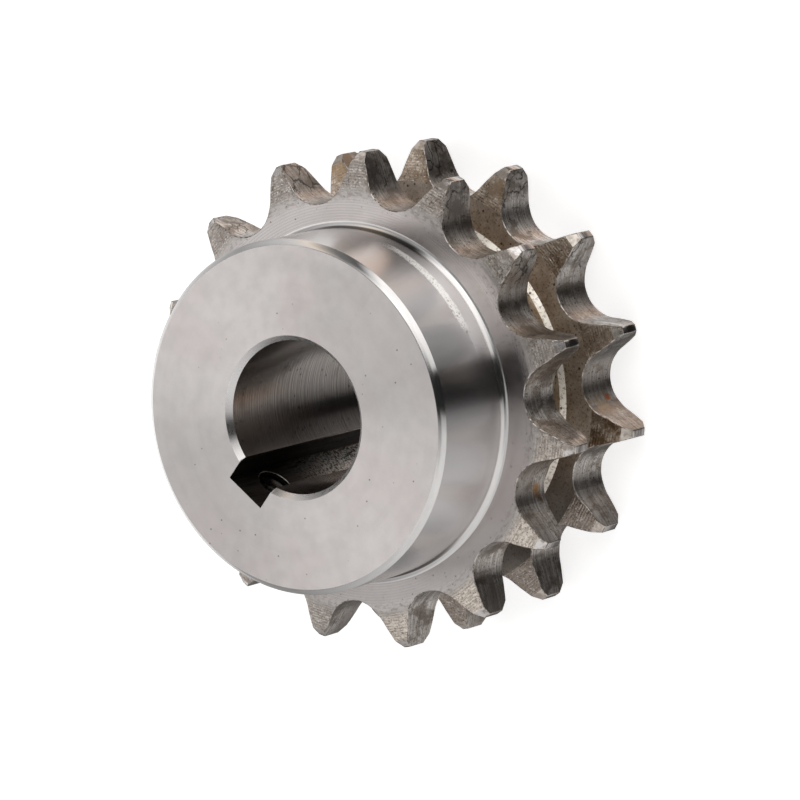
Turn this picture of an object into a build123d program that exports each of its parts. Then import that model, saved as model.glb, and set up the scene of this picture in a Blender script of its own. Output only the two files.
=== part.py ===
from build123d import *
from math import atan2, acos, cos, hypot, radians, sin
import os

os.makedirs("parts", exist_ok=True)

# Double-row chain sprocket, turned and hobbed from one piece of steel.
# The origin is on the bore axis, midway between the tooth rows, where the chain's
# centre line runs. +Z is the bore axis towards the hub, and +X runs through the keyway.

# Chain and teeth
pitch = 12.7
roller_diameter = 8.51
row_spacing = 13.92
teeth = 15
tip_radius = 32.75
seat_radius = 4.6
seat_half_angle = 61.0
flank_radius = 27.6

# Tooth rows, measured along the axis
row_width = 7.0
tip_width = 2.95
relief_break_width = 5.3
relief_start_radius = 27.6
tip_bevel_height = 1.05

# Core between the rows, and hub
core_radius = 23.1
core_root_cone = 0.6
overall_length = 35.0
hub_radius = 23.1
hub_chamfer = 0.75
hub_root_cone = 0.8
runout_radius = 23.0
runout_width = 3.2

# Bore, keyway and set-screw hole
bore_radius = 10.0
bore_chamfer = 0.7
keyway_width = 6.0
keyway_floor = 13.0
screw_hole_radius = 2.5
screw_hole_rim = 0.3
rim_angle = 90

# Places that follow from the sizes above
front_row_middle = row_spacing / 2
rear_row_middle = -front_row_middle
rear_face = rear_row_middle - row_width / 2
rear_row_front = rear_row_middle + row_width / 2
front_row_rear = front_row_middle - row_width / 2
front_row_front = front_row_middle + row_width / 2
hub_face = rear_face + overall_length
pitch_radius = pitch / 2 / sin(radians(180 / teeth))
root_radius = pitch_radius - roller_diameter / 2
relief_break_radius = tip_radius - tip_bevel_height
gap_angle = 360 / teeth
screw_hole_height = (front_row_front + hub_face) / 2


def row_side(middle, side):
    """Half section of one side of a tooth row, from the plate face out to the tip."""
    return [
        (relief_start_radius, middle + side * row_width / 2),
        (relief_break_radius, middle + side * relief_break_width / 2),
        (tip_radius, middle + side * tip_width / 2),
    ]


def flank_points(reach):
    """Foot, middle and end of a gap's upper flank, in the frame of one gap along +X.

    The roller seat is an arc about a point on the gap's centre line. The flank is a
    larger arc that bulges into the gap, tangent to the seat, out to the radius reach.
    """
    seat_middle = root_radius + seat_radius
    lean = radians(seat_half_angle)
    foot = (seat_middle - seat_radius * cos(lean), seat_radius * sin(lean))
    centre = (foot[0] - flank_radius * cos(lean), foot[1] + flank_radius * sin(lean))
    distance = hypot(centre[0], centre[1])
    swing = acos((reach**2 + distance**2 - flank_radius**2) / (2 * reach * distance))
    bearing = atan2(centre[1], centre[0]) - swing
    end = (reach * cos(bearing), reach * sin(bearing))
    end_lean = atan2(centre[1] - end[1], end[0] - centre[0])
    mean_lean = (lean + end_lean) / 2
    middle = (
        centre[0] + flank_radius * cos(mean_lean),
        centre[1] - flank_radius * sin(mean_lean),
    )
    return foot, middle, end


# Outline of one tooth gap, opening along +X and reaching past the tips
with BuildSketch(Plane.XY) as gap:
    foot, flank, end = flank_points(tip_radius + roller_diameter / 4)
    with BuildLine():
        ThreePointArc((foot[0], -foot[1]), (root_radius, 0), foot)
        ThreePointArc(foot, flank, end)
        Line(end, (end[0], -end[1]))
        ThreePointArc((end[0], -end[1]), (flank[0], -flank[1]), (foot[0], -foot[1]))
    make_face()

with BuildPart() as sprocket:
    # Turned blank: rear row, core, front row, run-out strip and hub, with a cone
    # in each corner where the core and the hub meet a tooth row
    with BuildSketch(Plane.YZ):
        with BuildLine():
            Polyline(
                (0, rear_face),
                *row_side(rear_row_middle, -1),
                *reversed(row_side(rear_row_middle, 1)),
                (core_radius + core_root_cone, rear_row_front),
                (core_radius, rear_row_front + core_root_cone),
                (core_radius, front_row_rear - core_root_cone),
                (core_radius + core_root_cone, front_row_rear),
                *row_side(front_row_middle, -1),
                *reversed(row_side(front_row_middle, 1)),
                (runout_radius + hub_root_cone, front_row_front),
                (runout_radius, front_row_front + hub_root_cone),
                (runout_radius, front_row_front + runout_width),
                (hub_radius, front_row_front + runout_width),
                (hub_radius, hub_face - hub_chamfer),
                (hub_radius - hub_chamfer, hub_face),
                (0, hub_face),
                close=True,
            )
        make_face()
    revolve(axis=Axis.Z)

    # Tooth gaps, hobbed through both rows in one pass
    with BuildSketch(Plane.XY.offset(rear_face)):
        with PolarLocations(0, teeth, start_angle=gap_angle / 2):
            add(gap.sketch)
    extrude(amount=front_row_front - rear_face, mode=Mode.SUBTRACT)

    # Bore, chamfered at both ends
    with Locations((0, 0, hub_face)):
        Hole(bore_radius)
    bore_rims = sprocket.edges().filter_by(GeomType.CIRCLE)
    chamfer(bore_rims.filter_by(lambda rim: abs(rim.radius - bore_radius) < 0.01), bore_chamfer)

    # Keyway, in line with the middle of a tooth
    with BuildSketch(Plane.XY.offset(rear_face)):
        Rectangle(keyway_floor, keyway_width, align=(Align.MIN, Align.CENTER))
    extrude(amount=overall_length, mode=Mode.SUBTRACT)

    # Tapping hole for the set screw, from the hub's side into the keyway
    with Locations(Plane((hub_radius, 0, screw_hole_height), z_dir=(1, 0, 0))):
        CounterSinkHole(
            screw_hole_radius,
            screw_hole_radius + screw_hole_rim,
            depth=hub_radius,
            counter_sink_angle=rim_angle,
        )

sprocket.part.label = "sprocket"
export_step(sprocket.part, "parts/sprocket.step")
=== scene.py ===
import bmesh
import bpy
import math
from mathutils import Matrix, Vector, noise


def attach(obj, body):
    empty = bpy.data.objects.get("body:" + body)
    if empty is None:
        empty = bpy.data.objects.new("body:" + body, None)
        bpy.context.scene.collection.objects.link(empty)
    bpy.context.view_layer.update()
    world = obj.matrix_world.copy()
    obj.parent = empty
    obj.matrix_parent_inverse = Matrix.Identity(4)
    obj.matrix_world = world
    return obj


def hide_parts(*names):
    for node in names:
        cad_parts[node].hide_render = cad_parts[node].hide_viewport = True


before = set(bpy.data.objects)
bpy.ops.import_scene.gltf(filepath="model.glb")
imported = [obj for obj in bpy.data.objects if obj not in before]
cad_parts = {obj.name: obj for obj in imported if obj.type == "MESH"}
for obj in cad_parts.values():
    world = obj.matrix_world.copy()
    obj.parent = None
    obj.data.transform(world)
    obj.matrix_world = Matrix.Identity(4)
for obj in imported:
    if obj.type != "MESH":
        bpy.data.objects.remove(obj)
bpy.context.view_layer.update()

# Metres in a millimetre. Lengths are in millimetres where a comment doesn't say metres.
MM = 0.001

# Sizes of the sprocket, the same as in the part's source to 0.01 mm
TEETH = 15
ROOT_RADIUS = 26.2887
TIP_RADIUS = 32.75
SEAT_RADIUS = 4.6
SEAT_HALF_ANGLE = math.radians(61)
FLANK_RADIUS = 27.6
ROW_SPACING = 13.92
HALF_ROW = 3.5
HALF_BREAK = 2.65
HALF_TIP = 1.475
RELIEF_START = 27.6
RELIEF_BREAK = 31.7
CORE_RADIUS = 23.1
CORE_CONE = 0.6
LENGTH = 35.0
HUB_RADIUS = 23.1
HUB_CHAMFER = 0.75
HUB_CONE = 0.8
RUNOUT_RADIUS = 23.0
RUNOUT_WIDTH = 3.2
BORE_RADIUS = 10.0
BORE_CHAMFER = 0.7
KEY_HALF = 3.0
KEY_FLOOR = 13.0
HOLE_RADIUS = 2.5

# Places and angles that follow from them
FRONT_ROW = ROW_SPACING / 2
REAR_ROW = -FRONT_ROW
PLATE = FRONT_ROW + HALF_ROW
REAR_FACE = REAR_ROW - HALF_ROW
HUB_FACE = REAR_FACE + LENGTH
RUNOUT_END = PLATE + RUNOUT_WIDTH
HOLE_HEIGHT = (PLATE + HUB_FACE) / 2
HALF_TOOTH = math.pi / TEETH
KEY_CORNER = math.atan2(KEY_HALF, KEY_FLOOR)
KEY_MOUTH = math.asin(KEY_HALF / BORE_RADIUS)

# Broken edge round the teeth: its width, and its middle as shares of its width and depth
EDGE_BREAK = 0.11
BREAK_MIDDLE = 0.68
BREAK_DROP = 0.3

# Uneven wear of that edge: its share of the width, and the scale and slice of its pattern
WEAR_SHARE = 0.7
WEAR_SCALE = 0.7
WEAR_SLICE = 3.1

# Broken corner from a flank to the tip land: depth below the tip and way along the land
TIP_CORNER = ((0.12, 0.0), (0.03, 0.035), (0.0, 0.11))

# Small step beside a turned corner, which keeps the corner's shading narrow, and its slope
CORNER_STEP = 0.05
CORNER_SLOPE = 0.6

# Hollow of the cone at the hub's root, as shares of its width and height
ROOT_HOLLOW = ((0.07, 0.76), (0.20, 0.53), (0.38, 0.33), (0.60, 0.16), (0.82, 0.05))

# Extra rings of points: in the bore's chamfer as a share of it, on the hub face, on the rear
CHAMFER_RING = 0.35
FACE_RING = 16.5
REAR_RING = 23.0

# Steps along half a gap's outline
SEAT_STEPS = 12
FLANK_STEPS = 14
LAND_STEPS = 3

# Cutter for the set-screw hole. Its radius is the hole's on two short lands and wider between
# them, where the thread goes. The mouth and the inner land are placed outwards from the keyway's
# floor, the outer land and the countersink inwards from the hub's side.
MOUTH_WEAR = 0.16
MOUTH_START = -0.04
MOUTH_END = 0.1
INNER_LAND_END = 0.35
INNER_ROOM_START = 0.8
THREAD_ROOM = 0.45
OUTER_ROOM_END = 0.7
OUTER_LAND_START = 0.45
COUNTERSINK = 0.15
OVERRUN = 1.5
HOLE_STEPS = 64

# Thread of the hole, and its ridge as shares of the lead and depths below the crest
THREAD_TURNS = 8.6
THREAD_STEPS = 40
THREAD_LEAD = 1.0
THREAD_START = KEY_FLOOR + 0.45
THREAD_RIDGE = ((0.0, 0.44), (0.36, 0.02), (0.5, 0.0), (0.64, 0.02), (1.0, 0.44))

# Bends above which an edge is sharp: where two regions meet, and anywhere
REGION_BEND = math.radians(15)
ANY_BEND = math.radians(43)

# How much large faces count in the shading of their edges
NORMAL_WEIGHT = 80

# Angles in radians: slack for rounding, and the gap below which two columns are one
ROUNDING = 1e-9
SAME_COLUMN = 1e-5

# Gap in metres below which two points are one
SAME_POINT = 2e-7

# Machined surfaces of the sprocket, in the order of the body's material slots
REGIONS = (
    "bore",
    "hub_face",
    "bore_rim",
    "chamfer",
    "hub_side",
    "plate",
    "relief",
    "tip_bevel",
    "flank",
    "edge",
    "tip_land",
    "groove",
    "core",
    "core_cone",
    "keyway",
    "hole",
)
INDEX = {name: i for i, name in enumerate(REGIONS)}


# Geometry


def gap_outline():
    """Half of a tooth gap's outline, from its bottom to the tooth's middle.

    Each entry is the angle from the gap's middle and the radius.
    """
    seat_x = ROOT_RADIUS + SEAT_RADIUS
    lean = SEAT_HALF_ANGLE
    rise = (seat_x**2 + SEAT_RADIUS**2 - RELIEF_START**2) / (2 * seat_x * SEAT_RADIUS)
    turns = [lean * i / SEAT_STEPS for i in range(SEAT_STEPS + 1)] + [math.acos(rise)]
    points = [
        (seat_x - SEAT_RADIUS * math.cos(a), SEAT_RADIUS * math.sin(a)) for a in sorted(turns)
    ]
    foot = points[-1]
    cx = foot[0] - FLANK_RADIUS * math.cos(lean)
    cy = foot[1] + FLANK_RADIUS * math.sin(lean)
    away = math.hypot(cx, cy)

    def lean_at(radius):
        swing = math.acos((radius**2 + away**2 - FLANK_RADIUS**2) / (2 * radius * away))
        bearing = math.atan2(cy, cx) - swing
        x, y = radius * math.cos(bearing), radius * math.sin(bearing)
        return math.atan2(cy - y, x - cx)

    last_lean = lean_at(TIP_RADIUS - TIP_CORNER[0][0])
    leans = [lean + (last_lean - lean) * i / FLANK_STEPS for i in range(1, FLANK_STEPS + 1)]
    leans.append(lean_at(RELIEF_BREAK))
    for a in sorted(leans, reverse=True):
        points.append((cx + FLANK_RADIUS * math.cos(a), cy - FLANK_RADIUS * math.sin(a)))
    outline = [(math.atan2(y, x), math.hypot(x, y)) for x, y in points]
    corner = outline[-1][0]
    for below, along in TIP_CORNER[1:]:
        outline.append((corner + along / TIP_RADIUS, TIP_RADIUS - below))
    land = outline[-1][0]
    for i in range(1, LAND_STEPS + 1):
        outline.append((land + (HALF_TOOTH - land) * i / LAND_STEPS, TIP_RADIUS))
    return outline


def outer_radius(outline, angle):
    """Radius of the toothed outline at an angle round the axis."""
    away = abs(angle % (2 * HALF_TOOTH) - HALF_TOOTH)
    for (a0, r0), (a1, r1) in zip(outline, outline[1:]):
        if a0 <= away <= a1:
            return r0 + (r1 - r0) * (away - a0) / (a1 - a0)
    return TIP_RADIUS


def bore_wall(angle):
    """Radius of the bore with its keyway, at an angle round the axis."""
    a = abs((angle + math.pi) % (2 * math.pi) - math.pi)
    if a <= KEY_CORNER + ROUNDING:
        return KEY_FLOOR / math.cos(a)
    if a <= KEY_MOUTH:
        return KEY_HALF / math.sin(a)
    return BORE_RADIUS


def columns():
    """Angles round the axis at which a section is drawn, with the toothed outline's radius."""
    outline = gap_outline()
    found = []
    for tooth in range(TEETH):
        middle = HALF_TOOTH + tooth * 2 * HALF_TOOTH
        found += [(middle + a, r) for a, r in outline]
        found += [(middle - a, r) for a, r in outline[1:-1]]
    key_rim = math.asin(KEY_HALF / (BORE_RADIUS + BORE_CHAMFER))
    for a in (KEY_CORNER, key_rim, KEY_MOUTH):
        for turn in (a, 2 * math.pi - a):
            found.append((turn, outer_radius(outline, turn)))
    found = sorted((a % (2 * math.pi), r) for a, r in found)
    kept = [found[0]]
    for a, r in found[1:]:
        if a - kept[-1][0] > SAME_COLUMN:
            kept.append((a, r))
    return kept


def side_depth(radius):
    """Half thickness of a tooth row at a radius, through its relief and tip bevel."""
    if radius <= RELIEF_START:
        return HALF_ROW
    if radius <= RELIEF_BREAK:
        share = (radius - RELIEF_START) / (RELIEF_BREAK - RELIEF_START)
        return HALF_ROW + (HALF_BREAK - HALF_ROW) * share
    share = (radius - RELIEF_BREAK) / (TIP_RADIUS - RELIEF_BREAK)
    return HALF_BREAK + (HALF_TIP - HALF_BREAK) * share


def worn_edges(rims):
    """Inner side of the broken edge, for the points of the toothed outline."""
    count = len(rims)
    moved = []
    for j, p in enumerate(rims):
        before, after = rims[j - 1], rims[(j + 1) % count]
        way_on = (p - before).normalized() + (after - p).normalized()
        way_in = Vector((-way_on.y, way_on.x)).normalized()
        wear = noise.noise(Vector((p.x * WEAR_SCALE, p.y * WEAR_SCALE, WEAR_SLICE)))
        moved.append(p + way_in * EDGE_BREAK * (1.0 + WEAR_SHARE * wear))
    return moved


def row_section(inner, at, edge_in, edge_out, middle, rear_side):
    """Points of one tooth row's section in a column, from its hub side to its rear side."""
    section = []
    levels = (RELIEF_START, (RELIEF_START + RELIEF_BREAK) / 2, RELIEF_BREAK)
    reach = edge_in.length
    start = Vector((math.cos(at), math.sin(at))) * inner
    for side in (1, -1):
        run = []
        for level in levels:
            share = min(1.0, max(0.0, (level - inner) / (reach - inner)))
            flat = start.lerp(edge_in, share)
            run.append((flat, side * side_depth(min(level, flat.length))))
        rim = side * side_depth(reach)
        drop = side * EDGE_BREAK
        run.append((edge_in, rim))
        run.append((edge_in.lerp(edge_out, BREAK_MIDDLE), rim - BREAK_DROP * drop))
        run.append((edge_out, rim - drop))
        names = ["relief", "relief", "tip_bevel", "edge", "edge", "flank"]
        if side < 0:
            run.reverse()
            names = ["edge", "edge", "tip_bevel", "relief", "relief", rear_side]
        section += [(p.x, p.y, middle + z, n) for (p, z), n in zip(run, names)]
    return section


def column_section(angle, edge_in, edge_out):
    """The sprocket's section in one column, from the bore's rim once round to the bore.

    Each point also holds the region of the face that follows it.
    """
    wall = bore_wall(angle)
    mouth = max(wall, BORE_RADIUS + BORE_CHAMFER)
    cut = mouth - wall
    face_edge = HUB_RADIUS - HUB_CHAMFER
    side_edge = HUB_FACE - HUB_CHAMFER
    hub_root = RUNOUT_RADIUS + HUB_CONE + CORNER_STEP
    core_root = CORE_RADIUS + CORE_CONE + CORNER_STEP

    def ring(radius, height, region):
        return (radius * math.cos(angle), radius * math.sin(angle), height, region)

    section = [
        ring(wall, HUB_FACE - cut - CORNER_STEP, "bore_rim"),
        ring(mouth - CHAMFER_RING * cut, HUB_FACE - CHAMFER_RING * cut, "bore_rim"),
        ring(mouth, HUB_FACE, "hub_face"),
        ring(FACE_RING, HUB_FACE, "hub_face"),
        ring(face_edge - CORNER_STEP, HUB_FACE, "chamfer"),
        ring(face_edge + CORNER_STEP, HUB_FACE - CORNER_SLOPE * CORNER_STEP, "chamfer"),
        ring(HUB_RADIUS - CORNER_SLOPE * CORNER_STEP, side_edge + CORNER_STEP, "chamfer"),
        ring(HUB_RADIUS, side_edge - CORNER_STEP, "hub_side"),
        ring(HUB_RADIUS, RUNOUT_END, "hub_side"),
        ring(RUNOUT_RADIUS, RUNOUT_END - CORNER_STEP, "hub_side"),
        ring(RUNOUT_RADIUS, PLATE + HUB_CONE, "chamfer"),
    ]
    for out, up in ROOT_HOLLOW:
        section.append(ring(RUNOUT_RADIUS + out * HUB_CONE, PLATE + up * HUB_CONE, "chamfer"))
    section.append(ring(hub_root, PLATE, "plate"))
    section += row_section(hub_root, angle, edge_in, edge_out, FRONT_ROW, "groove")
    section += [
        ring(core_root, FRONT_ROW - HALF_ROW, "core_cone"),
        ring(CORE_RADIUS, FRONT_ROW - HALF_ROW - CORE_CONE, "core"),
        ring(CORE_RADIUS, REAR_ROW + HALF_ROW + CORE_CONE, "core_cone"),
        ring(core_root, REAR_ROW + HALF_ROW, "groove"),
    ]
    section += row_section(core_root, angle, edge_in, edge_out, REAR_ROW, "plate")
    section += [
        ring(REAR_RING, REAR_FACE, "plate"),
        ring(mouth, REAR_FACE, "chamfer"),
        ring(wall, REAR_FACE + cut + CORNER_STEP, "bore"),
    ]
    return section


def mesh_from(bm, name):
    """Turns finished bmesh geometry into a mesh."""
    mesh = bpy.data.meshes.new(name)
    bm.to_mesh(mesh)
    bm.free()
    return mesh


def sprocket_mesh():
    """Closed skin of the sprocket: one section of the same points in every column."""
    cols = columns()
    rims = [Vector((math.cos(a), math.sin(a))) * r for a, r in cols]
    sections = [
        column_section(a, edge_in, edge_out)
        for (a, _), edge_in, edge_out in zip(cols, worn_edges(rims), rims)
    ]
    bm = bmesh.new()
    grid = [[bm.verts.new((x * MM, y * MM, z * MM)) for x, y, z, _ in s] for s in sections]
    count, size = len(grid), len(grid[0])
    just_past = 1e-4
    tip_slack = 0.01
    for j in range(count):
        k = (j + 1) % count
        turn = (cols[j][0] + just_past + math.pi) % (2 * math.pi) - math.pi
        in_key = -KEY_MOUTH <= turn < KEY_MOUTH
        at_tip = min(cols[j][1], cols[k][1]) > TIP_RADIUS - tip_slack
        for i in range(size):
            n = (i + 1) % size
            face = bm.faces.new((grid[j][i], grid[k][i], grid[k][n], grid[j][n]))
            region = sections[j][i][3]
            if region == "bore" and in_key:
                region = "keyway"
            if region == "flank" and at_tip:
                region = "tip_land"
            face.material_index = INDEX[region]
            face.smooth = region not in ("hub_face", "plate", "groove")
    bmesh.ops.remove_doubles(bm, verts=bm.verts, dist=SAME_POINT)
    bmesh.ops.dissolve_degenerate(bm, edges=bm.edges, dist=SAME_POINT)
    bmesh.ops.recalc_face_normals(bm, faces=bm.faces)
    return mesh_from(bm, "sprocket_steel")


def mark_sharp(mesh):
    """Keeps the corners between differently machined faces crisp."""
    bm = bmesh.new()
    bm.from_mesh(mesh)
    worn = INDEX["edge"]
    for edge in bm.edges:
        if len(edge.link_faces) != 2:
            continue
        one, two = (f.material_index for f in edge.link_faces)
        bend = edge.calc_face_angle(0.0)
        corner = one != two and worn not in (one, two) and bend > REGION_BEND
        edge.smooth = not (corner or bend > ANY_BEND)
    bm.to_mesh(mesh)
    bm.free()


def add(obj):
    """Puts an object in the scene."""
    bpy.context.scene.collection.objects.link(obj)
    return obj


def hole_cutter():
    """Closed turned solid along the set-screw hole, as wide as the hole and its thread."""
    worn = HOLE_RADIUS + MOUTH_WEAR
    wide = HOLE_RADIUS + THREAD_ROOM
    profile = (
        (KEY_FLOOR - OVERRUN, worn),
        (KEY_FLOOR + MOUTH_START, worn),
        (KEY_FLOOR + MOUTH_END, HOLE_RADIUS),
        (KEY_FLOOR + INNER_LAND_END, HOLE_RADIUS),
        (KEY_FLOOR + INNER_ROOM_START, wide),
        (HUB_RADIUS - OUTER_ROOM_END, wide),
        (HUB_RADIUS - OUTER_LAND_START, HOLE_RADIUS),
        (HUB_RADIUS - COUNTERSINK, HOLE_RADIUS),
        (HUB_RADIUS - COUNTERSINK + OVERRUN, HOLE_RADIUS + OVERRUN),
    )
    bm = bmesh.new()
    rings = []
    for x, r in profile:
        turns = [2 * math.pi * s / HOLE_STEPS for s in range(HOLE_STEPS)]
        points = [(x, r * math.cos(t), HOLE_HEIGHT + r * math.sin(t)) for t in turns]
        rings.append([bm.verts.new(Vector(point) * MM) for point in points])
    for low, high in zip(rings, rings[1:]):
        for s in range(HOLE_STEPS):
            t = (s + 1) % HOLE_STEPS
            bm.faces.new((low[s], low[t], high[t], high[s]))
    bm.faces.new(rings[0])
    bm.faces.new(reversed(rings[-1]))
    bmesh.ops.recalc_face_normals(bm, faces=bm.faces)
    for face in bm.faces:
        face.material_index = INDEX["hole"]
        face.smooth = True
    return mesh_from(bm, "drill")


def cut_hole(body):
    """Bores the set-screw hole through the hub wall into the keyway."""
    drill = add(bpy.data.objects.new("drill", hole_cutter()))
    for region in REGIONS:
        drill.data.materials.append(body.data.materials[INDEX[region]])
    modifier = body.modifiers.new("hole", "BOOLEAN")
    modifier.operation = "DIFFERENCE"
    modifier.solver = "EXACT"
    modifier.object = drill
    graph = bpy.context.evaluated_depsgraph_get()
    bored = bpy.data.meshes.new_from_object(body.evaluated_get(graph))
    body.modifiers.clear()
    body.data = bored
    bpy.data.objects.remove(drill)


def thread_mesh():
    """Inside thread of the set-screw hole: a V-shaped ridge winding along the hole."""
    bm = bmesh.new()
    rows = []
    for s in range(int(THREAD_TURNS * THREAD_STEPS) + 1):
        t = 2 * math.pi * s / THREAD_STEPS
        row = []
        for along, deep in THREAD_RIDGE:
            x = THREAD_START + THREAD_LEAD * s / THREAD_STEPS + along * THREAD_LEAD
            r = HOLE_RADIUS + deep
            point = Vector((x, r * math.cos(t), HOLE_HEIGHT + r * math.sin(t)))
            row.append(bm.verts.new(point * MM))
        rows.append(row)
    for one, two in zip(rows, rows[1:]):
        for i in range(len(THREAD_RIDGE) - 1):
            face = bm.faces.new((one[i], one[i + 1], two[i + 1], two[i]))
            face.smooth = True
    bmesh.ops.recalc_face_normals(bm, faces=bm.faces)
    return mesh_from(bm, "set_screw_thread")


# Node trees


class Nodes:
    """Adds nodes to an owner's tree. A value is a number, a tint or another node's output."""

    def __init__(self, owner):
        owner.use_nodes = True
        self.tree = owner.node_tree
        self.tree.nodes.clear()

    def node(self, kind, **settings):
        made = self.tree.nodes.new(kind)
        for key, value in settings.items():
            setattr(made, key, value)
        return made

    def link(self, source, target):
        self.tree.links.new(source, target)

    def put(self, value, target):
        """Sets a socket to a number or a tint, or links an output to it."""
        if isinstance(value, (int, float)):
            target.default_value = value
        elif isinstance(value, tuple):
            target.default_value = (*value, 1)
        else:
            self.link(value, target)

    def math(self, operation, a, b=0.0, c=0.0):
        made = self.node("ShaderNodeMath", operation=operation)
        for value, target in zip((a, b, c), made.inputs):
            self.put(value, target)
        return made.outputs[0]

    def times(self, product, *values):
        """Product of all the values."""
        for value in values:
            product = self.math("MULTIPLY", product, value)
        return product

    def span(self, value, low, high, to_low=0.0, to_high=1.0):
        """Smooth step of a value from low to high."""
        made = self.node("ShaderNodeMapRange", interpolation_type="SMOOTHSTEP")
        self.put(value, made.inputs["Value"])
        made.inputs["From Min"].default_value = low
        made.inputs["From Max"].default_value = high
        made.inputs["To Min"].default_value = to_low
        made.inputs["To Max"].default_value = to_high
        return made.outputs["Result"]

    def mix(self, share, a, b):
        """Colour a where the share is 0 and colour b where it is 1."""
        made = self.node("ShaderNodeMix", data_type="RGBA")
        self.put(share, made.inputs[0])
        self.put(a, made.inputs[6])
        self.put(b, made.inputs[7])
        return made.outputs[2]


# Radius at which Steel.around lays out the circumference
MARK_RADIUS = 28.0


class Steel(Nodes):
    """Builds one node material for bare steel, with positions in millimetres."""

    def __init__(self, name):
        self.material = bpy.data.materials.new(name)
        super().__init__(self.material)
        out = self.node("ShaderNodeOutputMaterial")
        self.bsdf = self.node("ShaderNodeBsdfPrincipled")
        self.bsdf.inputs["Metallic"].default_value = 1.0
        self.link(self.bsdf.outputs[0], out.inputs[0])
        coords = self.node("ShaderNodeTexCoord")
        scaled = self.node("ShaderNodeVectorMath", operation="SCALE")
        scaled.inputs["Scale"].default_value = 1 / MM
        self.link(coords.outputs["Object"], scaled.inputs[0])
        self.place = scaled.outputs[0]
        split = self.node("ShaderNodeSeparateXYZ")
        self.link(self.place, split.inputs[0])
        self.x, self.y, self.z = split.outputs
        square = self.math("ADD", self.times(self.x, self.x), self.times(self.y, self.y))
        self.radius = self.math("SQRT", square)
        self.turn = self.math("ARCTAN2", self.y, self.x)

    def vector(self, x, y, z):
        made = self.node("ShaderNodeCombineXYZ")
        for value, target in zip((x, y, z), made.inputs):
            self.put(value, target)
        return made.outputs[0]

    def stretch(self, x, y, z):
        """Position with its three parts scaled."""
        made = self.node("ShaderNodeVectorMath", operation="MULTIPLY")
        self.link(self.place, made.inputs[0])
        made.inputs[1].default_value = (x, y, z)
        return made.outputs[0]

    def around(self, along, across):
        """Position by circumference, radius and height, scaled along and across the marks."""
        return self.vector(
            self.times(self.turn, MARK_RADIUS * along),
            self.times(self.radius, across),
            self.times(self.z, across),
        )

    def facing(self, degrees, reach, full):
        """Share of a sector of the part: 1 within full degrees of its middle, 0 past reach."""
        at = math.radians(degrees)
        across = self.times(self.y, math.sin(at))
        along = self.math("MULTIPLY_ADD", self.x, math.cos(at), across)
        cosine = self.math("DIVIDE", along, self.radius)
        return self.span(cosine, math.cos(math.radians(reach)), math.cos(math.radians(full)))

    def root_corner_shade(self):
        """Share of the painted shade: a dark line in the corner at the hub's root, in two
        sectors.
        """
        line = self.times(
            self.span(self.z, PLATE + 0.22, PLATE + 0.36),
            self.span(self.z, PLATE + 1.29, PLATE + 0.84),
            self.span(self.radius, RUNOUT_RADIUS + 0.45, RUNOUT_RADIUS + 0.3),
        )
        upper = self.facing(208.0, reach=25.0, full=14.0)
        lower = self.facing(52.0, reach=34.0, full=12.0)
        return self.times(line, self.math("MAXIMUM", upper, lower), 0.85)

    def stain(self, centre, size):
        """Cloudy patch about a point, 1 inside and 0 outside."""
        away = self.node("ShaderNodeVectorMath", operation="DISTANCE")
        self.link(self.place, away.inputs[0])
        away.inputs[1].default_value = centre
        cloud = self.noise(self.place, 0.9, rough=0.65)
        ragged = self.times(self.math("SUBTRACT", cloud, 0.5), 2.6 * size)
        patch = self.span(self.math("ADD", away.outputs["Value"], ragged), size, size * 0.25)
        return self.times(patch, self.span(self.noise(self.place, 2.6), 0.3, 0.55, to_low=0.5))

    def noise(self, vector, scale, detail=3.0, rough=0.55, shift=0.0):
        """Soft noise from 0 to 1; another shift gives another pattern."""
        made = self.node("ShaderNodeTexNoise", noise_dimensions="4D")
        self.link(vector, made.inputs["Vector"])
        made.inputs["W"].default_value = shift
        made.inputs["Scale"].default_value = scale
        made.inputs["Detail"].default_value = detail
        made.inputs["Roughness"].default_value = rough
        return made.outputs["Fac"]

    def lines(self, value, scale, detail):
        """Uneven lines across a value, such as tool marks along a radius."""
        made = self.node("ShaderNodeTexNoise", noise_dimensions="1D")
        self.link(value, made.inputs["W"])
        made.inputs["Scale"].default_value = scale
        made.inputs["Detail"].default_value = detail
        made.inputs["Roughness"].default_value = 0.6
        return made.outputs["Fac"]

    def pits(self, scale, size, thin, shift=0.0):
        """Scattered small spots, 1 in a spot and 0 between; thin leaves that share out."""
        made = self.node("ShaderNodeTexVoronoi", feature="F1", voronoi_dimensions="3D")
        moved = self.node("ShaderNodeVectorMath", operation="ADD")
        self.link(self.place, moved.inputs[0])
        moved.inputs[1].default_value = (shift * 7.3, shift * 3.1, shift * 5.7)
        self.link(moved.outputs[0], made.inputs["Vector"])
        made.inputs["Scale"].default_value = scale
        made.inputs["Randomness"].default_value = 1.0
        spot = self.span(made.outputs["Distance"], size, size * 0.45)
        chance = self.node("ShaderNodeSeparateColor")
        self.link(made.outputs["Color"], chance.inputs[0])
        return self.times(spot, self.math("GREATER_THAN", chance.outputs[0], thin))

    def cracks(self, scale, width):
        """Network of thin dark lines, 1 on a line; width in cell sizes."""
        sway = 1.6
        wander = self.node("ShaderNodeTexNoise", noise_dimensions="3D")
        self.link(self.place, wander.inputs["Vector"])
        wander.inputs["Scale"].default_value = 0.8
        wander.inputs["Detail"].default_value = 3.0
        bent = self.node("ShaderNodeVectorMath", operation="MULTIPLY_ADD")
        self.link(wander.outputs["Color"], bent.inputs[0])
        bent.inputs[1].default_value = (sway, sway, sway)
        self.link(self.place, bent.inputs[2])
        made = self.node("ShaderNodeTexVoronoi", feature="DISTANCE_TO_EDGE")
        self.link(bent.outputs[0], made.inputs["Vector"])
        made.inputs["Scale"].default_value = scale
        return self.span(made.outputs["Distance"], width, width * 0.3)

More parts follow.
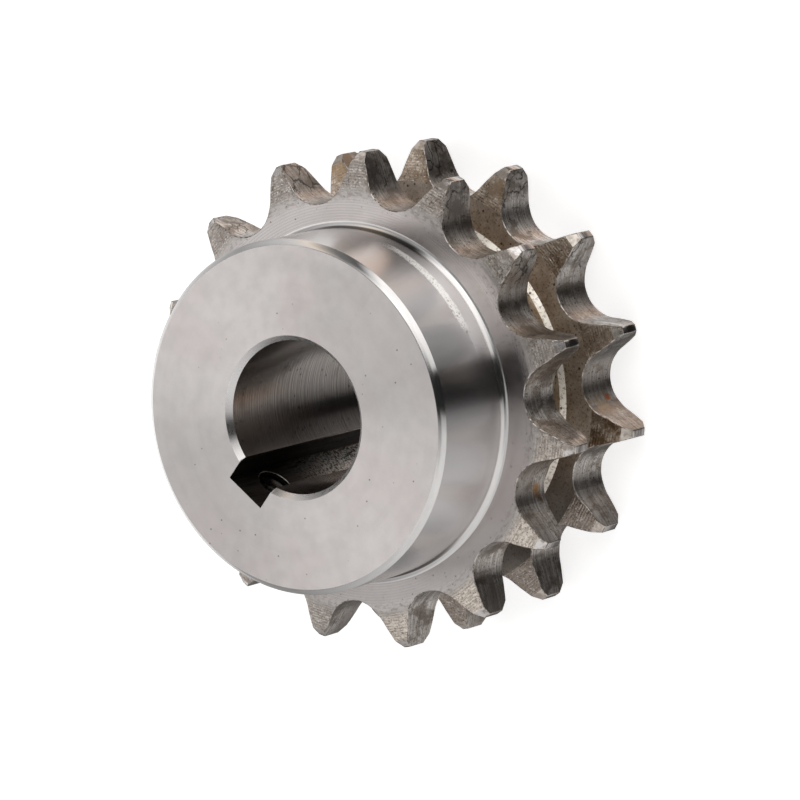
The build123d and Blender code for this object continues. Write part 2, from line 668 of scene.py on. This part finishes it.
    def bump(self, height, depth, under=None):
        """Bump of a 0 to 1 height, depth in millimetres."""
        made = self.node("ShaderNodeBump")
        made.inputs["Strength"].default_value = 1.0
        made.inputs["Distance"].default_value = depth * MM
        self.link(height, made.inputs["Height"])
        if under is not None:
            self.link(under, made.inputs["Normal"])
        return made.outputs[0]

    def brushed(self, amount):
        """Reflections stretched across marks that run round the axis."""
        tangent = self.node("ShaderNodeTangent", direction_type="RADIAL", axis="Z")
        self.link(tangent.outputs[0], self.bsdf.inputs["Tangent"])
        self.bsdf.inputs["Anisotropic"].default_value = amount
        self.bsdf.inputs["Anisotropic Rotation"].default_value = 0.25

    def done(self, colour, roughness, normal=None):
        """Gives the shader its inputs and returns the finished material."""
        self.put(colour, self.bsdf.inputs["Base Color"])
        self.put(roughness, self.bsdf.inputs["Roughness"])
        if normal is not None:
            self.link(normal, self.bsdf.inputs["Normal"])
        return self.material


# Materials

# Sectors of the part, in degrees from the keyway, named by where the photo's view shows them
BOTTOM = 65.0
LOWER_RIGHT = 80.0
UPPER_RIGHT = 172.0
TOP = 215.0
UPPER_LEFT = 252.0

# Tints that several steels share
# Painted shade in the corner at the hub's root
ROOT_SHADE_TINT = (0.06, 0.05, 0.042)
PIT = (0.03, 0.025, 0.02)

# Stains seen in the photograph: centre in millimetres, size and tint
FLANK_STAINS = (
    ((-15.2, 21.2, -4.2), 1.7, (0.34, 0.235, 0.15)),
    ((-16.3, 21.5, -8.4), 0.9, (0.42, 0.13, 0.035)),
    ((-16.3, 22.4, -6.4), 2.0, (0.34, 0.26, 0.18)),
    ((-6.8, 25.7, 5.4), 1.3, (0.42, 0.22, 0.09)),
    ((-5.7, 26.9, 4.7), 0.6, (0.28, 0.17, 0.09)),
    ((-16.7, -27.0, -5.0), 3.0, (0.26, 0.19, 0.13)),
    ((-25.6, -17.0, 8.6), 3.2, (0.15, 0.13, 0.115)),
    ((-29.5, -4.5, 6.8), 2.8, (0.21, 0.185, 0.165)),
)
RELIEF_STAINS = (
    ((-16.0, -26.9, -4.2), 2.6, (0.33, 0.235, 0.15)),
    ((-13.4, 25.7, -3.8), 2.6, (0.11, 0.07, 0.04)),
    ((-16.3, 26.2, -4.1), 2.0, (0.15, 0.09, 0.05)),
    ((-29.8, -5.4, -4.0), 1.8, (0.27, 0.20, 0.14)),
)


def faced_steel(name, pale, pink, rough, pitch, depth, turned, at_teeth):
    """Turned flat face: concentric tool marks, cloudy patches and a few dark specks.

    A face at the teeth is also pitted near their seats, and rougher and browner towards them.
    """
    grey = (0.46, 0.44, 0.435)
    warm_grey = (0.46, 0.44, 0.43)
    speck = (0.16, 0.135, 0.12)
    brown = (0.20, 0.165, 0.14)
    m = Steel(name)
    cloud = m.span(m.noise(m.place, 0.10), 0.40, 0.64)
    haze = m.noise(m.place, 0.5, rough=0.6, shift=2.0)
    sweep = m.noise(m.around(0.05, 1.0), 0.35, rough=0.6, shift=6.0)
    wave = m.math("SINE", m.times(m.radius, 2 * math.pi / pitch))
    uneven = m.span(m.noise(m.around(0.2, 0.6), 0.6), 0.3, 0.7, to_low=0.5)
    marks = m.times(m.math("MULTIPLY_ADD", wave, 0.5, 0.5), uneven)
    small = m.pits(0.85, size=0.14, thin=0.86)
    specks = m.math("MAXIMUM", small, m.pits(0.5, size=0.08, thin=0.6, shift=4.0))
    if at_teeth:
        near_seat = m.span(m.radius, 25.2, 26.2)
        pitted = m.times(m.pits(1.7, size=0.24, thin=0.6, shift=8.0), near_seat)
        specks = m.math("MAXIMUM", specks, pitted)
    colour = m.mix(cloud, pale, pink)
    colour = m.mix(m.span(haze, 0.35, 0.7, to_high=0.16), colour, grey)
    colour = m.mix(m.span(sweep, 0.45, 0.75, to_high=0.18), colour, warm_grey)
    colour = m.mix(m.times(specks, 0.75), colour, speck)
    roughness = m.span(haze, 0.3, 0.7, rough, rough + 0.05)
    if at_teeth:
        toward = m.span(m.radius, 26.0, RELIEF_START)
        cells = m.span(m.noise(m.around(0.75, 1.5), 1.7, rough=0.6), 0.47, 0.60)
        colour = m.mix(m.times(cells, toward, 0.5), colour, brown)
        roughness = m.math("MULTIPLY_ADD", toward, 0.16, roughness)
    m.brushed(turned)
    return m.done(colour, roughness, m.bump(marks, depth))


def polished_side(name):
    """Turned and polished hub side, with a torn, duller band near the plate. In one sector the
    band's grains are whitened as a painted highlight.
    """
    dull_grey = (0.63, 0.605, 0.60)
    pale = (0.69, 0.665, 0.66)
    glint = (1.0, 0.97, 0.93)
    brown = (0.24, 0.17, 0.12)
    m = Steel(name)
    marks = m.lines(m.z, 2.6, detail=3.0)
    cloud = m.noise(m.stretch(0.35, 0.35, 0.1), 0.5)
    grain = m.noise(m.place, 4.5, rough=0.7)
    here = m.facing(UPPER_RIGHT, reach=27.0, full=20.0)
    wander = m.math("SUBTRACT", m.noise(m.place, 1.6, detail=4.0, rough=0.7), 0.5)
    height = m.math("ADD", m.z, m.times(wander, 1.3))
    band = m.times(m.span(height, 13.35, 13.65), m.span(height, 15.3, 14.7))
    band = m.times(band, m.span(grain, 0.34, 0.52), here)
    # Painted highlight: the band's grains whitened in one sector; the same mask also roughens and
    # bumps them
    grains_and_glint = m.times(band, m.facing(181.0, reach=27.0, full=12.0))
    torn = m.times(m.pits(1.9, size=0.36, thin=0.5, shift=2.0), m.span(height, 13.2, 13.5))
    torn = m.times(torn, m.facing(164.0, reach=19.0, full=8.0), m.span(height, 15.0, 14.5))
    colour = m.mix(cloud, dull_grey, pale)
    colour = m.mix(m.times(grains_and_glint, 0.9), colour, glint)
    colour = m.mix(m.times(torn, 0.7), colour, brown)
    # Painted shade: a dark line in the corner at the hub's root
    colour = m.mix(m.root_corner_shade(), colour, ROOT_SHADE_TINT)
    dull = m.times(m.span(height, 14.6, 13.9), here, 0.08)
    polish = m.span(cloud, 0.3, 0.7, 0.19, 0.22)
    roughness = m.math("ADD", m.math("ADD", m.times(grains_and_glint, 0.35), polish), dull)
    normal = m.bump(marks, 0.0003)
    normal = m.bump(m.times(grains_and_glint, grain), 0.02, normal)
    m.brushed(1.0)
    return m.done(colour, roughness, normal)


def chamfer_steel(name, rough):
    """Turned chamfers and cones, with painted shade in the corner at the hub's root."""
    dull = (0.60, 0.58, 0.57)
    pale = (0.72, 0.70, 0.685)
    m = Steel(name)
    marks = m.noise(m.around(0.4, 2.0), 1.3)
    # Painted shade: a dark line in the corner at the hub's root
    colour = m.mix(m.root_corner_shade(), m.mix(marks, dull, pale), ROOT_SHADE_TINT)
    m.brushed(0.8)
    return m.done(colour, m.span(marks, 0.3, 0.7, rough, rough + 0.06))


def between_rows(m):
    """Share of brown oil: none on the front row's hub side, and full below its middle."""
    return m.span(m.z, 9.0, 5.5)


def relief_colour(m, blotch):
    """Blotchy tint of the relief, by side of the front row. By sector it carries painted light:
    paler on the lower right, and darker upper left and greyer at the bottom as painted shade.
    """
    pale, dull = (0.58, 0.535, 0.50), (0.44, 0.395, 0.355)
    light, dark = (0.80, 0.72, 0.64), (0.32, 0.295, 0.28)
    tan, umber = (0.56, 0.47, 0.385), (0.30, 0.225, 0.16)
    grey = (0.33, 0.295, 0.27)
    clean = m.mix(m.span(blotch, 0.36, 0.64), pale, dull)
    # Painted light: paler on the lower right
    clean = m.mix(m.facing(LOWER_RIGHT, reach=50.0, full=25.0), clean, light)
    # Painted shade: darker on the upper left
    clean = m.mix(m.times(m.facing(UPPER_LEFT, reach=50.0, full=20.0), 0.75), clean, dark)
    brown = m.mix(m.span(blotch, 0.38, 0.62), tan, umber)
    # Painted shade: greyer and darker at the bottom
    brown = m.mix(m.times(m.facing(BOTTOM, reach=52.0, full=25.0), 0.8), brown, grey)
    return m.mix(between_rows(m), clean, brown)


def relief_steel(name):
    """Rough relief at the teeth: mottled turning marks, browner between the rows."""
    groove_brown = (0.23, 0.18, 0.145)
    soot = (0.11, 0.085, 0.065)
    glint = (0.92, 0.85, 0.76)
    pit = (0.05, 0.038, 0.028)
    vein = (0.07, 0.056, 0.045)
    plate_grey = (0.47, 0.435, 0.415)
    pitch = 0.36
    m = Steel(name)
    blotch = m.noise(m.place, 0.42, detail=4.0, rough=0.65)
    cells = m.noise(m.around(0.75, 1.5), 1.7, rough=0.6)
    grain = m.noise(m.place, 4.2, rough=0.7, shift=5.0)
    patchy = m.noise(m.place, 0.8, detail=2.0, rough=0.5, shift=3.0)
    turned = m.math("SINE", m.times(m.radius, 2 * math.pi / pitch))
    turned = m.times(turned, m.span(patchy, 0.42, 0.62, to_low=0.1))
    wave = m.math("MULTIPLY_ADD", m.math("SUBTRACT", cells, 0.5), 9.0, turned)
    painted_highlight = m.times(m.span(grain, 0.48, 0.38), m.span(wave, 0.2, -0.9))
    veins = m.times(m.cracks(0.5, width=0.04), m.span(blotch, 0.46, 0.54, to_high=0.55))
    veins = m.times(veins, m.facing(TOP, reach=90.0, full=50.0))
    colour = relief_colour(m, blotch)
    colour = m.mix(m.span(wave, -0.9, 0.9, to_high=0.5), colour, groove_brown)
    colour = m.mix(m.span(grain, 0.52, 0.64, to_high=0.7), colour, soot)
    colour = m.mix(m.times(painted_highlight, 0.55), colour, glint)
    colour = m.mix(m.times(m.pits(1.5, size=0.2, thin=0.6), 0.8), colour, pit)
    colour = m.mix(veins, colour, vein)
    for centre, size, tint in RELIEF_STAINS:
        colour = m.mix(m.stain(centre, size), colour, tint)
    join = m.times(m.span(m.radius, 29.0, RELIEF_START), m.span(m.z, 5.5, 9.0))
    colour = m.mix(m.times(join, 0.75), colour, plate_grey)
    normal = m.bump(grain, 0.016, m.bump(wave, 0.008))
    return m.done(colour, m.span(grain, 0.3, 0.7, 0.30, 0.42), normal)


def bevel_steel(name):
    """Bevel at the tip of a tooth."""
    pale, oily = (0.66, 0.63, 0.61), (0.56, 0.51, 0.45)
    dark = (0.36, 0.31, 0.275)
    m = Steel(name)
    grain = m.noise(m.place, 1.1, rough=0.6)
    colour = m.mix(between_rows(m), pale, oily)
    colour = m.mix(m.span(grain, 0.42, 0.62), colour, dark)
    return m.done(colour, m.span(grain, 0.3, 0.7, 0.24, 0.36), m.bump(grain, 0.01))


def land_steel(name):
    """Turned tip of a tooth."""
    pale, dark = (0.55, 0.52, 0.50), (0.30, 0.26, 0.235)
    m = Steel(name)
    marks = m.noise(m.around(0.3, 2.4), 1.6, rough=0.6)
    colour = m.mix(m.span(marks, 0.4, 0.6), pale, dark)
    return m.done(colour, m.span(marks, 0.3, 0.7, 0.14, 0.22), m.bump(marks, 0.004))


def hobbed_steel(name):
    """Tooth flanks and seats: feed marks across the width, stains, cracks and pits."""
    pale, dull = (0.69, 0.645, 0.605), (0.37, 0.325, 0.29)
    umber = (0.20, 0.16, 0.13)
    soot = (0.10, 0.08, 0.065)
    broad_brown = (0.20, 0.165, 0.14)
    crack = (0.045, 0.038, 0.032)
    pit = (0.04, 0.034, 0.03)
    m = Steel(name)
    feed = m.noise(m.stretch(0.12, 0.12, 2.6), 1.3, rough=0.6)
    blotch = m.noise(m.stretch(0.6, 0.6, 0.35), 0.7, detail=4.0, rough=0.65)
    grain = m.noise(m.place, 3.0, rough=0.7)
    broad = m.noise(m.place, 0.10, detail=1.0, rough=0.5, shift=7.0)
    patchy = m.noise(m.place, 0.33, detail=2.0, rough=0.5, shift=9.0)
    upper = m.span(m.facing(TOP, reach=100.0, full=50.0), 0.0, 1.0, 0.2, 0.85)
    cracks = m.times(m.cracks(0.42, width=0.065), m.span(m.radius, 27.6, 28.6))
    cracks = m.times(cracks, m.span(patchy, 0.42, 0.52), upper)
    seat = m.math("ADD", m.span(m.radius, 29.0, 27.0, to_high=0.75), 0.15)
    rim = m.times(m.span(m.z, 8.8, 10.0), m.span(m.radius, 29.6, 27.8))
    seat_dots = m.times(m.pits(1.3, size=0.22, thin=0.5), seat)
    rim_dots = m.times(m.pits(2.4, size=0.38, thin=0.35, shift=3.0), rim)
    colour = m.mix(m.span(feed, 0.38, 0.62), pale, dull)
    colour = m.mix(m.span(blotch, 0.47, 0.6, to_high=0.85), colour, umber)
    colour = m.mix(m.span(grain, 0.53, 0.63, to_high=0.7), colour, soot)
    colour = m.mix(m.span(broad, 0.45, 0.58, to_high=0.5), colour, broad_brown)
    colour = m.mix(cracks, colour, crack)
    colour = m.mix(m.math("MAXIMUM", seat_dots, rim_dots), colour, pit)
    for centre, size, tint in FLANK_STAINS:
        colour = m.mix(m.stain(centre, size), colour, tint)
    normal = m.bump(grain, 0.012, m.bump(feed, 0.009))
    return m.done(colour, m.span(grain, 0.3, 0.7, 0.28, 0.40), normal)


def edge_steel(name):
    """Broken edges round the teeth."""
    pale, dark = (0.52, 0.48, 0.45), (0.17, 0.14, 0.115)
    m = Steel(name)
    grain = m.noise(m.place, 1.3, rough=0.7)
    colour = m.mix(m.span(grain, 0.42, 0.58), pale, dark)
    return m.done(colour, m.span(grain, 0.3, 0.7, 0.3, 0.45))


def oily_steel(name, pale, dark, is_flat):
    """Steel between the rows, brown with old cutting oil, with tool marks round the axis and
    painted shade at the bottom.
    """
    grey = (0.28, 0.255, 0.24)
    soot = (0.12, 0.09, 0.065)
    m = Steel(name)
    blotch = m.noise(m.place, 0.36, detail=5.0, rough=0.7)
    grain = m.noise(m.place, 2.6, detail=4.0, rough=0.7)
    marks = m.lines(m.radius if is_flat else m.z, 3.0, detail=2.0)
    colour = m.mix(m.span(blotch, 0.32, 0.68), pale, dark)
    # Painted shade: greyer and darker at the bottom
    colour = m.mix(m.times(m.facing(BOTTOM, reach=52.0, full=25.0), 0.7), colour, grey)
    colour = m.mix(m.span(grain, 0.50, 0.66, to_high=0.75), colour, soot)
    colour = m.mix(m.times(m.pits(1.0, size=0.24, thin=0.5), 0.85), colour, PIT)
    normal = m.bump(grain, 0.012, m.bump(marks, 0.003))
    return m.done(colour, m.span(grain, 0.3, 0.7, 0.3, 0.44), normal)


def bore_steel(name):
    """Bored wall with fine marks round it and a few pits."""
    pale, dark = (0.47, 0.43, 0.40), (0.23, 0.205, 0.19)
    cloud_brown = (0.20, 0.165, 0.145)
    shade = (0.11, 0.075, 0.06)
    m = Steel(name)
    marks = m.lines(m.z, 5.0, detail=3.0)
    cloud = m.noise(m.place, 0.35)
    colour = m.mix(m.span(marks, 0.38, 0.62), pale, dark)
    colour = m.mix(m.span(cloud, 0.5, 0.7, to_high=0.5), colour, cloud_brown)
    colour = m.mix(m.times(m.facing(341.0, reach=24.0, full=18.0), 0.3), colour, shade)
    colour = m.mix(m.times(m.pits(1.1, size=0.22, thin=0.5), 0.85), colour, PIT)
    m.brushed(0.8)
    return m.done(colour, 0.2, m.bump(marks, 0.0016))


def broached_steel(name):
    """Keyway with marks along the axis, painted dark as shade. Deep in the bore its floor is
    paler towards the rear and its lips carry a thin pale line, both painted light.
    """
    dark, black = (0.07, 0.06, 0.052), (0.02, 0.017, 0.015)
    painted_light_tint = (0.75, 0.70, 0.65)
    painted_highlight = (0.95, 0.90, 0.84)
    m = Steel(name)
    marks = m.noise(m.stretch(1.6, 1.6, 0.05), 1.5, rough=0.7)
    grain = m.noise(m.place, 3.2, rough=0.7)
    # Painted light: the floor paler towards the rear
    lit_towards_rear = m.times(m.span(m.z, 15.0, -4.0), m.span(m.x, 12.5, 12.9))
    # Painted highlight: a thin pale line along the lips
    lip_highlight = m.times(m.span(m.radius, BORE_RADIUS + 0.17, BORE_RADIUS + 0.11), m.span(m.z, 9.0, 2.0))
    # Painted shade: the keyway dark
    colour = m.mix(m.span(marks, 0.38, 0.62), dark, black)
    colour = m.mix(m.times(lit_towards_rear, m.span(grain, 0.42, 0.56)), colour, painted_light_tint)
    colour = m.mix(lip_highlight, colour, painted_highlight)
    normal = m.bump(grain, 0.008, m.bump(marks, 0.01))
    return m.done(colour, m.span(grain, 0.3, 0.7, 0.34, 0.5), normal)


def hole_steel(name):
    """Set-screw hole, painted black inside as shade, with a painted highlight at its rim."""
    dark, black = (0.09, 0.078, 0.07), (0.025, 0.021, 0.018)
    painted_light_tint = (0.80, 0.76, 0.71)
    m = Steel(name)
    grain = m.noise(m.place, 2.0)
    rise = m.math("SUBTRACT", m.z, HOLE_HEIGHT)
    away = m.math("SQRT", m.math("MULTIPLY_ADD", rise, rise, m.times(m.y, m.y)))
    rim = m.span(away, HOLE_RADIUS + 0.04, HOLE_RADIUS + 0.12)
    inner = m.span(m.x, KEY_FLOOR + 0.2, KEY_FLOOR + 0.1)
    outer = m.span(m.x, HUB_RADIUS - 0.6, HUB_RADIUS - 0.4)
    # Painted shade: black inside the hole
    colour = m.mix(m.span(grain, 0.4, 0.6), dark, black)
    # Painted highlight at the rim
    colour = m.mix(m.times(rim, m.math("MAXIMUM", inner, outer)), colour, painted_light_tint)
    return m.done(colour, 0.42, m.bump(grain, 0.004))


# Studio

# The photograph's camera: round the axis from the keyway, above the plane across the axis, and
# turned about its own line of sight. Angles in radians, places in metres, the lens in mm.
VIEW_AZIMUTH = math.radians(142.72)
VIEW_ELEVATION = math.radians(54.83)
VIEW_ROLL = math.radians(-103.95)
VIEW_DISTANCE = 0.7532
VIEW_AIM = (0.00080, 0.00071, 0.00015)
VIEW_NEAR = 0.05
VIEW_FAR = 10.0
LENS = 257.4
SENSOR = 36.0

# Half the floor's side in metres, its tint, and how much it glows in the camera's sight alone
FLOOR_HALF = 1.5
FLOOR_TINT = (0.85, 0.85, 0.85)
FLOOR_GLOW = 0.62

# Tints of the studio's walls, and the level of its dark side
WARM = (1.0, 0.80, 0.67)
CREAM = (1.0, 0.90, 0.80)
WHITE = (1.0, 1.0, 1.0)
DARK = 0.02

# Four bands of walls, one above another. Each stop holds degrees round the axis
# from the keyway and a level of light, and a tint where the wall isn't white.
LOW_WALLS = (
    (0, 0.15), (35, 0.2), (60, 0.65), (100, 0.4), (130, DARK), (150, DARK), (180, 0.12),
    (200, 0.4), (220, 0.85, WARM), (235, 1.1, WARM), (255, 1.25), (275, 0.85), (300, 0.35),
)
LEVEL_WALLS = (
    (0, 0.35), (50, 0.85), (90, 1.0), (115, 0.85), (124, 0.5), (127, DARK), (148, DARK),
    (151, 0.9), (175, 1.55), (203, 1.5), (210, 0.9), (218, 0.12), (232, 0.25),
    (240, 0.75, CREAM), (245, 1.15, CREAM), (252, 0.85), (275, 0.45), (300, 0.95),
    (322, 1.5), (340, 0.85), (348, 0.4),
)
HIGH_WALLS = (
    (0, 0.8), (50, 0.9), (85, 0.95), (117, 0.3), (121, DARK), (149, DARK), (165, 1.0),
    (200, 2.1), (227, 0.5), (255, 0.3), (285, 1.2), (312, 1.7), (325, 0.4), (345, 0.8),
)
TOP_WALLS = (
    (0, 0.75), (100, 0.65), (122, DARK), (148, DARK), (165, 0.3), (225, 0.17),
    (285, 0.5), (310, DARK), (340, 0.9),
)

# Upward share of a direction at which each band gives way to the next
LEVEL_FROM = (-0.77, -0.57)
HIGH_FROM = (0.54, 0.72)
TOP_FROM = (0.84, 0.93)


def studio_world():
    """White studio round the object, with a dark side where the camera stands."""
    world = bpy.data.worlds.new("studio")
    bpy.context.scene.world = world
    w = Nodes(world)
    coords = w.node("ShaderNodeTexCoord")
    split = w.node("ShaderNodeSeparateXYZ")
    w.link(coords.outputs["Generated"], split.inputs[0])
    x, y, z = split.outputs
    turn = w.math("DIVIDE", w.math("ARCTAN2", y, x), 2 * math.pi)
    turn = w.math("FRACT", w.math("ADD", turn, 1.0))

    def walls(stops):
        closed = (*stops, (360, *stops[0][1:]))
        ramp = w.node("ShaderNodeValToRGB")
        points = ramp.color_ramp.elements
        while len(points) < len(closed):
            points.new(0.5)
        for point, (degrees, level, *tint) in zip(points, closed):
            point.position = degrees / 360
            point.color = (*(level * c for c in (tint[0] if tint else WHITE)), 1)
        w.link(turn, ramp.inputs[0])
        return ramp.outputs[0]

    room = w.mix(w.span(z, *LEVEL_FROM), walls(LOW_WALLS), walls(LEVEL_WALLS))
    room = w.mix(w.span(z, *HIGH_FROM), room, walls(HIGH_WALLS))
    room = w.mix(w.span(z, *TOP_FROM), room, walls(TOP_WALLS))
    seen = w.node("ShaderNodeLightPath")
    light = w.node("ShaderNodeBackground")
    w.link(w.mix(seen.outputs["Is Camera Ray"], room, WHITE), light.inputs[0])
    out = w.node("ShaderNodeOutputWorld")
    w.link(light.outputs[0], out.inputs[0])


def floor():
    """Pale floor under the rear face. It keeps the object's shadow."""
    corners = ((-1, -1), (1, -1), (1, 1), (-1, 1))
    points = [(x * FLOOR_HALF, y * FLOOR_HALF, REAR_FACE * MM) for x, y in corners]
    mesh = bpy.data.meshes.new("floor")
    mesh.from_pydata(points, [], [range(4)])
    obj = add(bpy.data.objects.new("floor", mesh))
    material = bpy.data.materials.new("floor")
    m = Nodes(material)
    seen = m.node("ShaderNodeLightPath")
    matt = m.node("ShaderNodeBsdfDiffuse")
    m.put(FLOOR_TINT, matt.inputs[0])
    glow = m.node("ShaderNodeEmission")
    glow.inputs["Strength"].default_value = FLOOR_GLOW
    both = m.node("ShaderNodeAddShader")
    m.link(matt.outputs[0], both.inputs[0])
    m.link(glow.outputs[0], both.inputs[1])
    pick = m.node("ShaderNodeMixShader")
    m.link(seen.outputs["Is Camera Ray"], pick.inputs[0])
    m.link(matt.outputs[0], pick.inputs[1])
    m.link(both.outputs[0], pick.inputs[2])
    out = m.node("ShaderNodeOutputMaterial")
    m.link(pick.outputs[0], out.inputs[0])
    mesh.materials.append(material)
    obj.visible_glossy = False


def camera():
    """The photograph's view, from a long lens above the hub."""
    lens = bpy.data.cameras.new("camera")
    lens.sensor_width = SENSOR
    lens.lens = LENS
    lens.clip_start = VIEW_NEAR
    lens.clip_end = VIEW_FAR
    obj = add(bpy.data.objects.new("camera", lens))
    back = Vector((math.cos(VIEW_ELEVATION), 0.0, math.sin(VIEW_ELEVATION)))
    back.rotate(Matrix.Rotation(VIEW_AZIMUTH, 3, "Z"))
    level = Vector((-math.sin(VIEW_AZIMUTH), math.cos(VIEW_AZIMUTH), 0.0))
    right = Matrix.Rotation(VIEW_ROLL, 3, back) @ level
    turn = Matrix((right, back.cross(right), back)).transposed()
    place = Vector(VIEW_AIM) + back * VIEW_DISTANCE
    obj.matrix_world = Matrix.Translation(place) @ turn.to_4x4()
    bpy.context.scene.camera = obj


# Scene

MATERIALS = {
    "bore": bore_steel("bored_steel"),
    "hub_face": faced_steel(
        "faced_steel",
        pale=(0.69, 0.655, 0.64),
        pink=(0.665, 0.61, 0.595),
        rough=0.34,
        pitch=0.18,
        depth=0.0004,
        turned=0.87,
        at_teeth=False,
    ),
    "bore_rim": chamfer_steel("rim_steel", rough=0.26),
    "chamfer": chamfer_steel("chamfer_steel", rough=0.12),
    "hub_side": polished_side("polished_steel"),
    "plate": faced_steel(
        "plate_steel",
        pale=(0.54, 0.505, 0.49),
        pink=(0.49, 0.45, 0.435),
        rough=0.18,
        pitch=0.36,
        depth=0.0018,
        turned=0.62,
        at_teeth=True,
    ),
    "relief": relief_steel("relief_steel"),
    "tip_bevel": bevel_steel("bevel_steel"),
    "flank": hobbed_steel("hobbed_steel"),
    "edge": edge_steel("edge_steel"),
    "tip_land": land_steel("land_steel"),
    "groove": oily_steel(
        "groove_steel", pale=(0.70, 0.645, 0.595), dark=(0.42, 0.355, 0.30), is_flat=True
    ),
    "core": oily_steel(
        "core_steel", pale=(0.55, 0.46, 0.36), dark=(0.36, 0.28, 0.20), is_flat=False
    ),
    "core_cone": oily_steel(
        "cone_steel", pale=(0.94, 0.89, 0.81), dark=(0.78, 0.70, 0.59), is_flat=False
    ),
    "keyway": broached_steel("broached_steel"),
    "hole": hole_steel("thread_steel"),
}

body = add(bpy.data.objects.new("sprocket_steel", sprocket_mesh()))
for region in REGIONS:
    body.data.materials.append(MATERIALS[region])
cut_hole(body)
mark_sharp(body.data)
weighted = body.modifiers.new("normals", "WEIGHTED_NORMAL")
weighted.keep_sharp = True
weighted.weight = NORMAL_WEIGHT
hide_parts("sprocket")
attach(body, "root")

thread = add(bpy.data.objects.new("set_screw_thread", thread_mesh()))
thread.data.materials.append(MATERIALS["hole"])
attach(thread, "root")

studio_world()
floor()
camera()
bpy.context.scene.view_settings.view_transform = "Standard"
